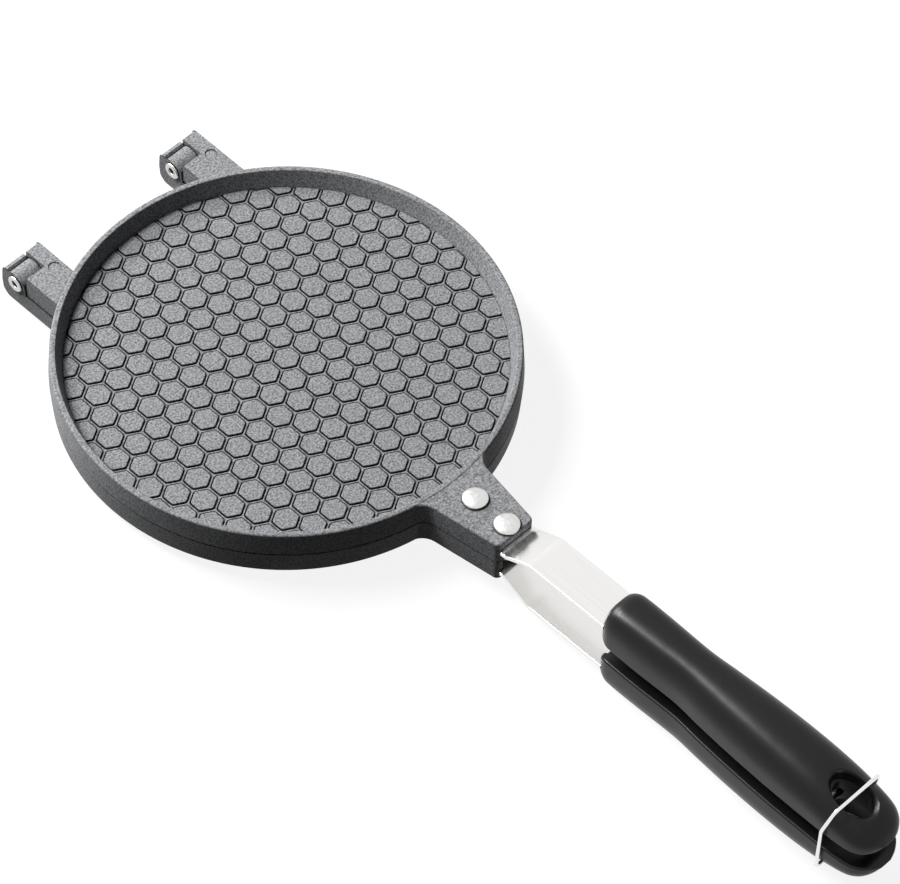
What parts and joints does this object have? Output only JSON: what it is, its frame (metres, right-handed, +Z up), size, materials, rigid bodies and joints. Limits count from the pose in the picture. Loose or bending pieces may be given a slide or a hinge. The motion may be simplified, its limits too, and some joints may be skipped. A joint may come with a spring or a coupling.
{
  "type": "egg roll iron",
  "caption": "Stovetop egg roll iron: two hinged round cast plates with a honeycomb relief, steel straps, black moulded handles and a wire bail that latches them.",
  "frame": {"origin": "the centre of the closed iron's footprint, at the height of the lower handle's lowest point", "axes": "+Z is up out of the upper plate, -Y runs along the handles away from the plates, and +X runs along the hinge line"},
  "size_m": [0.19, 0.4348, 0.049],
  "materials": {
    "cast_plate": "cast aluminium under a fine-grained dark grey non-stick coating",
    "hinge_pin": "bright tubular steel rivet with flared ring heads",
    "strap_steel": "polished stainless steel strap",
    "rivet": "bright domed rivet",
    "handle_phenolic": "glossy black moulded phenolic",
    "fastener": "zinc-plated steel",
    "bail_wire": "bright steel wire"
  },
  "bodies": {
    "base": {"lower_plate": "cast_plate", "left_hinge_pin": "hinge_pin", "right_hinge_pin": "hinge_pin", "lower_strap": "strap_steel", "lower_rear_rivet": "rivet", "lower_front_rivet": "rivet", "lower_handle": "handle_phenolic", "lower_handle_screw": "fastener", "lower_handle_washer": "fastener", "lower_handle_nut": "fastener"},
    "lid": {"upper_plate": "cast_plate", "upper_strap": "strap_steel", "upper_rear_rivet": "rivet", "upper_front_rivet": "rivet", "upper_handle": "handle_phenolic", "upper_handle_screw": "fastener", "upper_handle_washer": "fastener", "upper_handle_nut": "fastener"},
    "bail": {"wire_bail": "bail_wire"}
  },
  "joints": [
    {"name": "lid_hinge", "type": "hinge", "parent": "base", "child": "lid", "pos_m": [0, 0.2096, 0.0275], "axis": [-1, 0, 0], "range_deg": [0, 105]},
    {"name": "bail_swing", "type": "hinge", "parent": "base", "child": "bail", "pos_m": [0, -0.1965, 0.0083], "axis": [1, 0, 0], "range_deg": [0, 170]}
  ]
}
